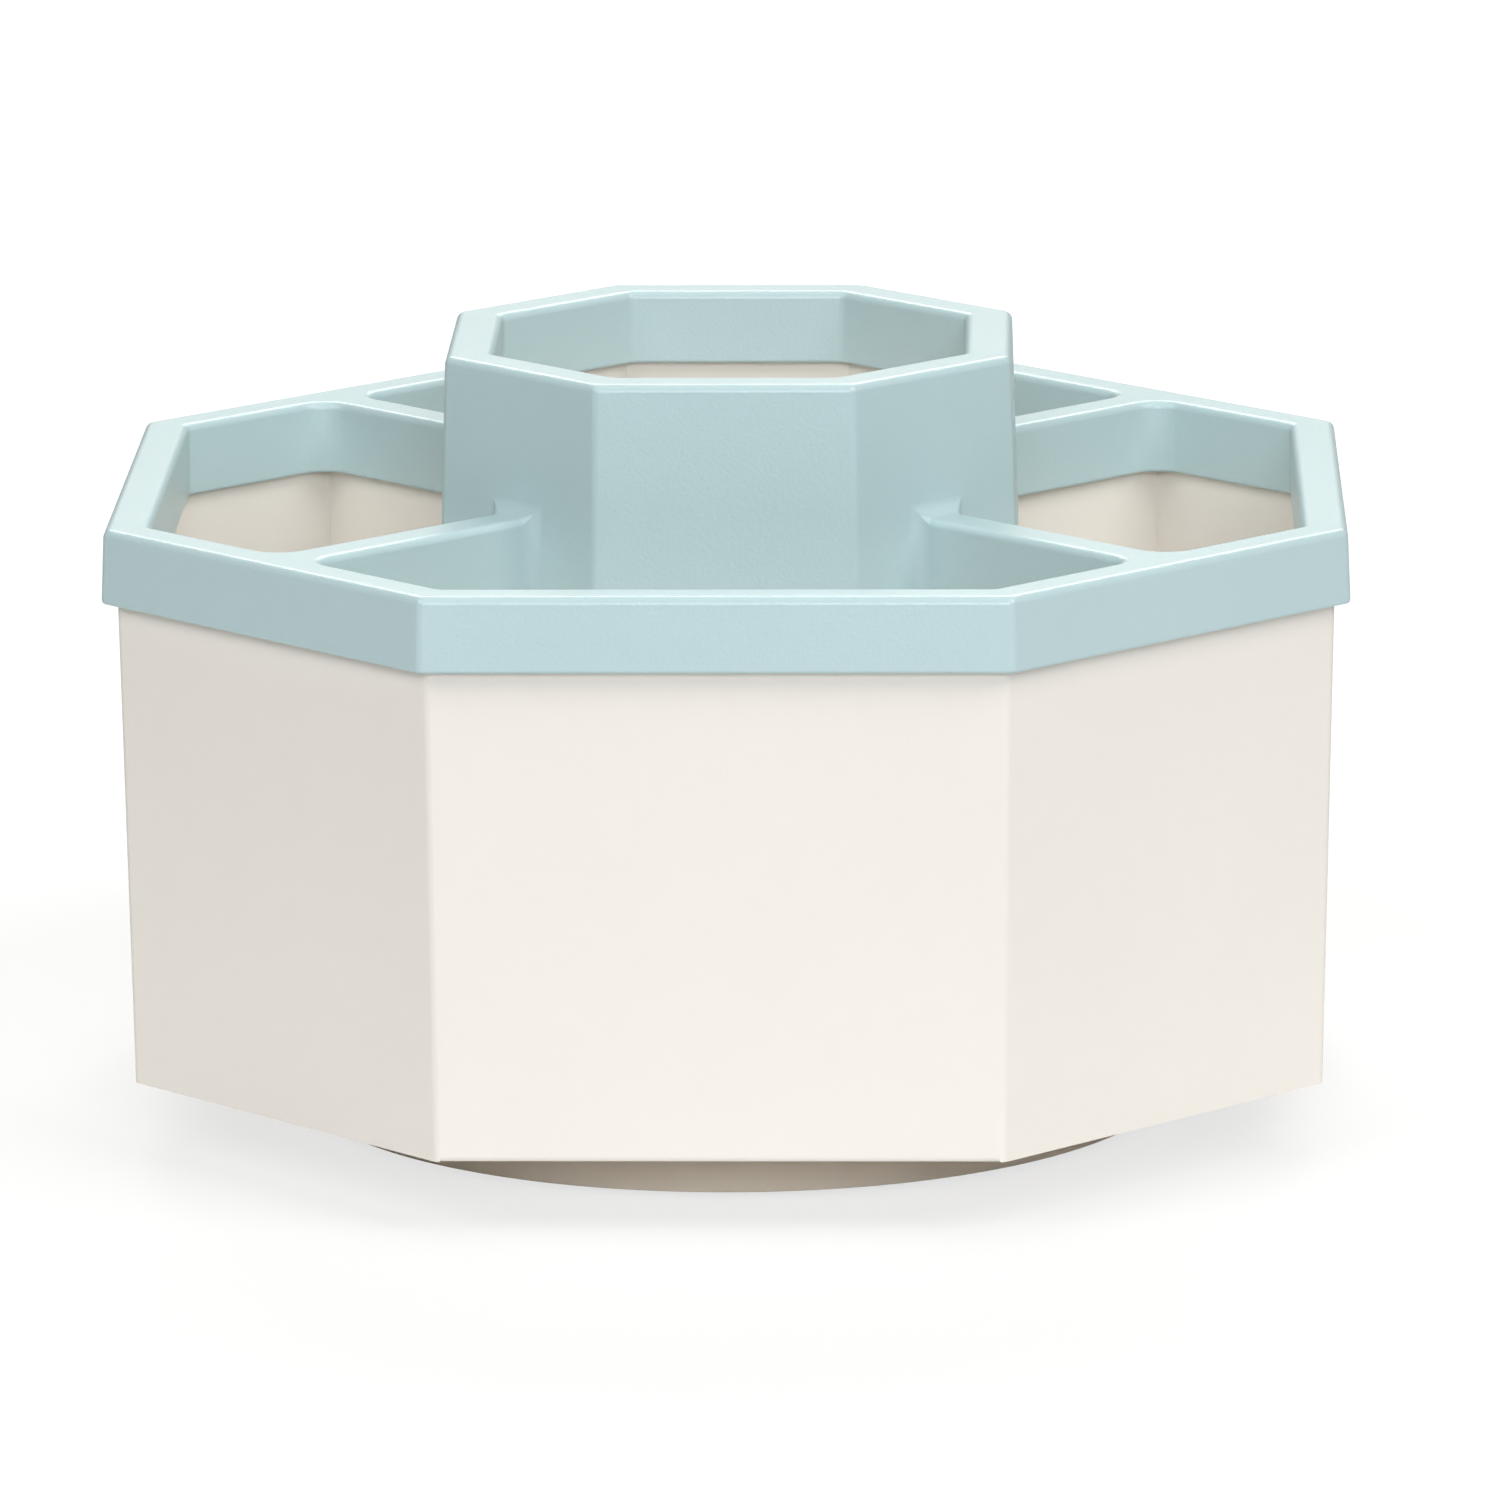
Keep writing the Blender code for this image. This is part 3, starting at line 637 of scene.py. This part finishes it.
def make_base():
    base = new_drum("turntable_base", disc_radius, disc_foot, disc_top, sides=DISC_SIDES)
    with editing(base):
        pick("FACE", lambda face: at_level(face, disc_foot))
        bpy.ops.mesh.inset(thickness=DISC_WALL)
        extrude(0, 0, DECK_FOOT - disc_foot)
        resize(1 - DISC_TAPER / disc_radius)
        pick("FACE", lambda face: at_level(face, disc_top))
        resize(1 - DISC_TAPER / disc_radius)
        groove_deck()
        pick("EDGE", lambda edge: sharp(edge) and at_level(edge, disc_top) and at_outer_edge(edge))
        bevel(DISC_ROUND, ROUND_STEPS)
        pick("EDGE", lambda edge: sharp(edge) and at_level(edge, disc_foot))
        bevel(DISC_FOOT_ROUND, 2)
    web_top = (DECK_FOOT + disc_top - RACE_DEPTH) / 2
    places = [on_circle(PAD_CIRCLE, degrees) for degrees in DIAGONALS]
    seat_radius = pad_radius + PAD_SLACK
    for place in places:
        wall_foot = disc_foot + DISC_FOOT_ROUND
        wall = new_drum("seat", seat_radius + SEAT_WALL, wall_foot, web_top, place)
        combine(base, wall, "UNION")
    combine(base, new_drum("hub", HUB_RADIUS, HUB_FOOT, web_top), "UNION")
    reach = disc_radius - DISC_WALL
    for degrees in (0, 45, 90, 135):
        rib = new_block("rib", (-reach, -RIB_HALF, DISC_RIB_FOOT), (reach, RIB_HALF, web_top))
        turn_about_axis(rib, degrees)
        combine(base, rib, "UNION")
    clearing = new_drum("clearing", HUB_RADIUS - WASHER_INSET / 2, 0, HUB_FOOT)
    combine(base, clearing, "DIFFERENCE")
    combine(base, new_drum("bore", HUB_BORE, 0, disc_top + DISC_WALL), "DIFFERENCE")
    for place in places:
        combine(base, new_drum("recess", seat_radius, -DISC_WALL, PAD_SEAT_TOP, place), "DIFFERENCE")
    smooth(base, 40)
    return base


def at_outer_edge(edge):
    return middle(edge).xy.length > disc_radius - DISC_WALL


def turn_about_axis(piece, degrees):
    """Turns a piece about the turning axis and applies the turn to its mesh."""
    bpy.ops.object.select_all(action="DESELECT")
    piece.select_set(True)
    bpy.context.view_layer.objects.active = piece
    bpy.ops.transform.rotate(
        value=-math.radians(degrees), orient_axis="Z", center_override=(0, 0, 0)
    )
    bpy.ops.object.transform_apply(location=True, rotation=True, scale=True)


def make_pad():
    """A foam pad with a rounded edge and a shallow dish, so that it grips with its rim."""
    pad = new_drum("grip_pad_1", pad_radius, 0, PAD_HEIGHT, on_circle(PAD_CIRCLE, DIAGONALS[0]))
    with editing(pad):
        pick("EDGE", lambda edge: at_level(edge, 0))
        bevel(PAD_ROUND, 3)
        pick("FACE", lambda face: at_level(face, 0))
        sink_in(PAD_RIM, 0)
        sink_in(PAD_ROUND, PAD_DISH)
        sink_in(PAD_RIM, -PAD_DISH / 2)
    smooth(pad, 50)
    return pad


def make_washer():
    """A flat ring with broken edges."""
    washer = new_drum("glide_ring", WASHER_RADIUS, washer_low.z, washer_high.z, sides=96)
    bore = new_drum("bore", WASHER_BORE, 0, disc_top, sides=48)
    combine(washer, bore, "DIFFERENCE")
    with editing(washer):
        pick("EDGE", sharp)
        bevel(WASHER_ROUND, 2)
    smooth(washer)
    return washer


def make_screw(name, head, tip, place=(0, 0)):
    """A pan-head screw with a cross recess, head down."""
    seat = head + HEAD_HEIGHT
    screw = new_drum(name, HEAD_RADIUS, head, seat, place, 48)
    with editing(screw):
        pick("EDGE", lambda edge: at_level(edge, head))
        bevel(HEAD_ROUND, 5)
        pick("FACE", lambda face: at_level(face, seat))
        bpy.ops.mesh.inset(thickness=HEAD_RADIUS - SHANK_RADIUS)
        extrude(0, 0, tip - SHANK_RADIUS - seat)
        extrude(0, 0, SHANK_RADIUS)
        bpy.ops.mesh.inset(thickness=SHANK_RADIUS / 2)
    for reach in ((CROSS_REACH, CROSS_HALF), (CROSS_HALF, CROSS_REACH)):
        low = Vector((place[0] - reach[0], place[1] - reach[1], head - CROSS_DEPTH))
        high = Vector((place[0] + reach[0], place[1] + reach[1], head + CROSS_DEPTH))
        combine(screw, new_block("slot", low, high), "DIFFERENCE")
    with editing(screw):
        pick("EDGE", lambda edge: at_level(edge, head) and sharp(edge))
        bevel(CROSS_HALF / 6, 1)
    smooth(screw, 40)
    return screw


def copy_of(piece, name, degrees):
    """A copy with a mesh of its own, turned about the turning axis."""
    copy = piece.copy()
    copy.data = piece.data.copy()
    copy.name = name
    bpy.context.scene.collection.objects.link(copy)
    turn_about_axis(copy, degrees)
    return copy


# Materials
def colour(red, green, blue):
    """A colour as a screen shows it, 0 to 255, as the renderer counts it."""
    shares = [level / 255 for level in (red, green, blue)]
    return [s / 12.92 if s <= 0.04045 else ((s + 0.055) / 1.055) ** 2.4 for s in shares]


class Value:
    """A node's output; sums with it add Math nodes to its material."""

    def __init__(self, finish, socket):
        self.finish = finish
        self.socket = socket

    def __add__(self, other):
        return self.finish.math("ADD", self, other)

    def __radd__(self, other):
        return self.finish.math("ADD", other, self)

    def __mul__(self, other):
        return self.finish.math("MULTIPLY", self, other)

    def __rmul__(self, other):
        return self.finish.math("MULTIPLY", other, self)


class Finish:
    """A material, put together from nodes."""

    def __init__(self, name):
        self.material = bpy.data.materials.new(name)
        self.material.use_nodes = True
        self.tree = self.material.node_tree
        self.shader = self.tree.nodes["Principled BSDF"]
        self.place = self.node("ShaderNodeTexCoord", output="Object")

    def feed(self, socket, value):
        if isinstance(value, Value):
            self.tree.links.new(value.socket, socket)
        elif isinstance(value, (tuple, list)):
            socket.default_value = (*value, 1.0)[: len(socket.default_value)]
        else:
            socket.default_value = value

    def node(self, kind, inputs=None, output=0, **settings):
        """Adds a node, sets it, feeds its sockets and gives one of its outputs."""
        made = self.tree.nodes.new(kind)
        for name, setting in settings.items():
            setattr(made, name, setting)
        for socket, value in (inputs or {}).items():
            self.feed(made.inputs[socket], value)
        return Value(self, made.outputs[output])

    def math(self, operation, first, second):
        return self.node("ShaderNodeMath", {0: first, 1: second}, operation=operation)

    def noise(self, size, detail=2.0):
        """Soft noise from 0 to 1 whose patches are about this size."""
        sockets = {"Vector": self.place, "Scale": 1 / size, "Detail": detail}
        return self.node("ShaderNodeTexNoise", sockets)

    def mix(self, share, first, second):
        return self.node("ShaderNodeMix", {0: share, 6: first, 7: second}, 2, data_type="RGBA")

    def bump(self, height, depth, below=None):
        sockets = {"Height": height, "Distance": depth, "Strength": 1.0}
        if below is not None:
            sockets["Normal"] = below
        return self.node("ShaderNodeBump", sockets)

    def set(self, **values):
        for name, value in values.items():
            self.feed(self.shader.inputs[name.replace("_", " ").title()], value)
        return self.material


FLOW_PATCH = 38 * MM
MOTTLE_PATCH = 4 * MM
WAVE_DEPTH = 0.05 * MM


def moulded_plastic(name, dark, light, roughness, grain, grain_depth):
    """Injection-moulded plastic: fine spark-eroded grain, slow waves and a little mottling."""
    finish = Finish(name)
    flow = finish.noise(FLOW_PATCH, 1.0)
    mottle = finish.noise(MOTTLE_PATCH)
    speckle = finish.noise(grain)
    tint = finish.mix(0.7 * flow + 0.3 * mottle, dark, light)
    waves = finish.bump(flow, WAVE_DEPTH)
    skin = finish.bump(speckle, grain_depth, waves)
    return finish.set(
        base_color=tint,
        roughness=roughness - 0.05 + 0.1 * speckle,
        normal=skin,
    )


make_camera()
mint = moulded_plastic(
    "mint_plastic", colour(190, 214, 218), colour(196, 220, 224), 0.32, 0.5 * MM, 0.045 * MM
)
cream = moulded_plastic(
    "cream_plastic", colour(245, 239, 231), colour(249, 244, 237), 0.4, 0.6 * MM, 0.015 * MM
)
# The base disc's colour: cream plastic made warmer and lighter, as painted warm bounce light under the
# tub's overhang.
beige = moulded_plastic(
    "beige_plastic", colour(249, 234, 214), colour(253, 240, 222), 0.5, 0.6 * MM, 0.02 * MM
)
cage_plastic = moulded_plastic(
    "cage_plastic", colour(222, 222, 216), colour(230, 230, 225), 0.4, 0.5 * MM, 0.004 * MM
)


def steel_finish():
    """Bright zinc-plated steel with faint turning marks and stains."""
    finish = Finish("steel")
    stain = finish.noise(1.5 * MM)
    scratch = finish.noise(0.08 * MM)
    tint = finish.mix(stain, colour(176, 178, 182), colour(205, 205, 203))
    return finish.set(
        base_color=tint,
        metallic=1.0,
        roughness=0.18 + 0.16 * stain,
        normal=finish.bump(scratch, 0.001 * MM),
    )


def rubber_finish():
    """Matt open-pored foam rubber, painted darker in its pits as shade."""
    finish = Finish("pad_rubber")
    pores_and_painted_shade = finish.noise(0.25 * MM, 4.0)
    # The colour darkens where the foam's pits sink in: painted shade.
    tint = finish.mix(pores_and_painted_shade, colour(30, 30, 31), colour(58, 57, 56))
    return finish.set(
        base_color=tint,
        roughness=0.8 + 0.15 * pores_and_painted_shade,
        normal=finish.bump(pores_and_painted_shade, 0.05 * MM),
    )


steel = steel_finish()
rubber = rubber_finish()

MATERIALS = {
    "cream_plastic": cream,
    "mint_plastic": mint,
    "base_plastic": beige,
    "cage_plastic": cage_plastic,
    "steel": steel,
    "pad_rubber": rubber,
}
for subpart in frame["record"]["subparts"]:
    node = frame["nodes"][subpart["node"]]
    node.data.materials.clear()
    node.data.materials.append(MATERIALS[subpart["material_slot"]])


def take_over(piece, node, body, slot):
    """Puts a finished piece in the place of a CAD node, with its material."""
    piece.data.materials.clear()
    piece.data.materials.append(MATERIALS[slot])
    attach(piece, body)
    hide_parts(node)


take_over(make_top_frame(), "top_frame", "holder", "mint_plastic")
take_over(make_tub(), "tub", "holder", "cream_plastic")
take_over(make_base(), "base_disc", "base", "base_plastic")
take_over(make_washer(), "thrust_washer", "holder", "cage_plastic")

screw_low, screw_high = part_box("pivot_screw")
take_over(
    make_screw("pivot_pan_screw", screw_low.z, screw_high.z), "pivot_screw", "holder", "steel"
)
screw_low, screw_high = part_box("plate_screw_1")
first_place = on_circle(SCREW_CIRCLE, DIAGONALS[0])
plate_screws = [make_screw("deck_screw_1", screw_low.z, screw_high.z, first_place)]
pads = [make_pad()]
for quarter in (1, 2, 3):
    plate_screws.append(copy_of(plate_screws[0], f"deck_screw_{quarter + 1}", 90 * quarter))
    pads.append(copy_of(pads[0], f"grip_pad_{quarter + 1}", 90 * quarter))
for number in (1, 2, 3, 4):
    take_over(plate_screws[number - 1], f"plate_screw_{number}", "holder", "steel")
    take_over(pads[number - 1], f"foot_pad_{number}", "base", "pad_rubber")


# Floor and lights
FLOOR_WHITE = 1.1
SHADOW_NEAR = 0.1
SHADOW_FAR = 0.25
SHADOW_SHARE = 0.65
# Paper colour close to the holder and far off; the lighter paper close by is a painted pool of light
# around the holder.
PAPER_PAINTED_POOL = (0.85, 0.85, 0.85)
PAPER_PAINTED_FALLOFF = (0.5, 0.5, 0.5)
WORLD_LIGHT = 0.025
WORLD_MIRRORED = 0.35
COOL = (0.93, 0.96, 1.0)
WARM = (1.0, 0.985, 0.94)


def make_floor():
    """Paper that the camera sees as white far off, and with the holder's shadow close by. The paper's
    colour is lighter near the holder than far off: a painted pool of light.
    """
    bpy.ops.object.select_all(action="DESELECT")
    bpy.ops.mesh.primitive_plane_add(size=12)
    floor = bpy.context.object
    floor.name = "floor"
    finish = Finish("floor_paper")
    seen = finish.node("ShaderNodeLightPath", output="Is Camera Ray")
    white = finish.node("ShaderNodeEmission", {"Color": (1, 1, 1), "Strength": FLOOR_WHITE})
    away = finish.node("ShaderNodeVectorMath", {0: finish.place}, "Value", operation="LENGTH")
    painted_pool_spread = finish.node(
        "ShaderNodeMapRange", {"Value": away, "From Min": SHADOW_NEAR, "From Max": SHADOW_FAR}
    )
    finish.set(base_color=finish.mix(painted_pool_spread, PAPER_PAINTED_POOL, PAPER_PAINTED_FALLOFF), roughness=0.9)
    paper = Value(finish, finish.shader.outputs[0])
    reach = {"Value": away, "From Min": SHADOW_NEAR, "From Max": SHADOW_FAR, "To Min": SHADOW_SHARE}
    plain = finish.node("ShaderNodeMapRange", reach, interpolation_type="SMOOTHSTEP")
    above = finish.node("ShaderNodeMixShader", {0: plain * seen, 1: paper, 2: white})
    below = finish.node("ShaderNodeNewGeometry", output="Backfacing")
    clear = finish.node("ShaderNodeBsdfTransparent")
    shown = finish.node("ShaderNodeMixShader", {0: below, 1: above, 2: clear})
    finish.feed(finish.tree.nodes["Material Output"].inputs["Surface"], shown)
    floor.data.materials.append(finish.material)


def make_world():
    """White to the camera, paler in reflections, and faint as light on the holder."""
    world = bpy.data.worlds.new("studio")
    world.use_nodes = True
    bpy.context.scene.world = world
    tree = world.node_tree
    background = tree.nodes["Background"]
    background.inputs["Color"].default_value = (1, 1, 1, 1)
    path = tree.nodes.new("ShaderNodeLightPath")
    seen = tree.nodes.new("ShaderNodeMath")
    seen.operation = "MAXIMUM"
    tree.links.new(path.outputs["Is Camera Ray"], seen.inputs[0])
    tree.links.new(path.outputs["Is Transmission Ray"], seen.inputs[1])
    strength = tree.nodes.new("ShaderNodeMapRange")
    strength.inputs["To Min"].default_value = WORLD_LIGHT
    strength.inputs["To Max"].default_value = 1.0
    tree.links.new(seen.outputs[0], strength.inputs["Value"])
    mirrored = tree.nodes.new("ShaderNodeMath")
    mirrored.operation = "MULTIPLY_ADD"
    mirrored.inputs[1].default_value = WORLD_MIRRORED
    tree.links.new(path.outputs["Is Glossy Ray"], mirrored.inputs[0])
    tree.links.new(strength.outputs[0], mirrored.inputs[2])
    tree.links.new(mirrored.outputs[0], background.inputs["Strength"])


def make_lamp(name, place, size, watts, tint=(1, 1, 1), aim=(0, 0, 0.05)):
    data = bpy.data.lights.new(name, "AREA")
    data.shape = "RECTANGLE"
    data.size, data.size_y = size
    data.energy = watts
    data.color = tint
    lamp = bpy.data.objects.new(name, data)
    lamp.location = place
    lamp.rotation_euler = (Vector(aim) - Vector(place)).to_track_quat("-Z", "Y").to_euler()
    bpy.context.scene.collection.objects.link(lamp)


make_floor()
make_world()
make_lamp("front_softbox", (0.2, -1.9, 0.75), (0.8, 0.5), 15, COOL)
make_lamp("left_softbox", (-1.0, -1.0, 1.3), (1.0, 0.9), 11, WARM)
make_lamp("right_softbox", (1.1, -0.7, 1.4), (1.0, 1.0), 16, WARM)
make_lamp("back_softbox", (0, 1.5, 1.2), (1.4, 1.0), 20, WARM)
make_lamp("top_softbox", (0, 0.1, 1.7), (1.2, 1.2), 5)

bpy.context.scene.view_settings.view_transform = "Standard"
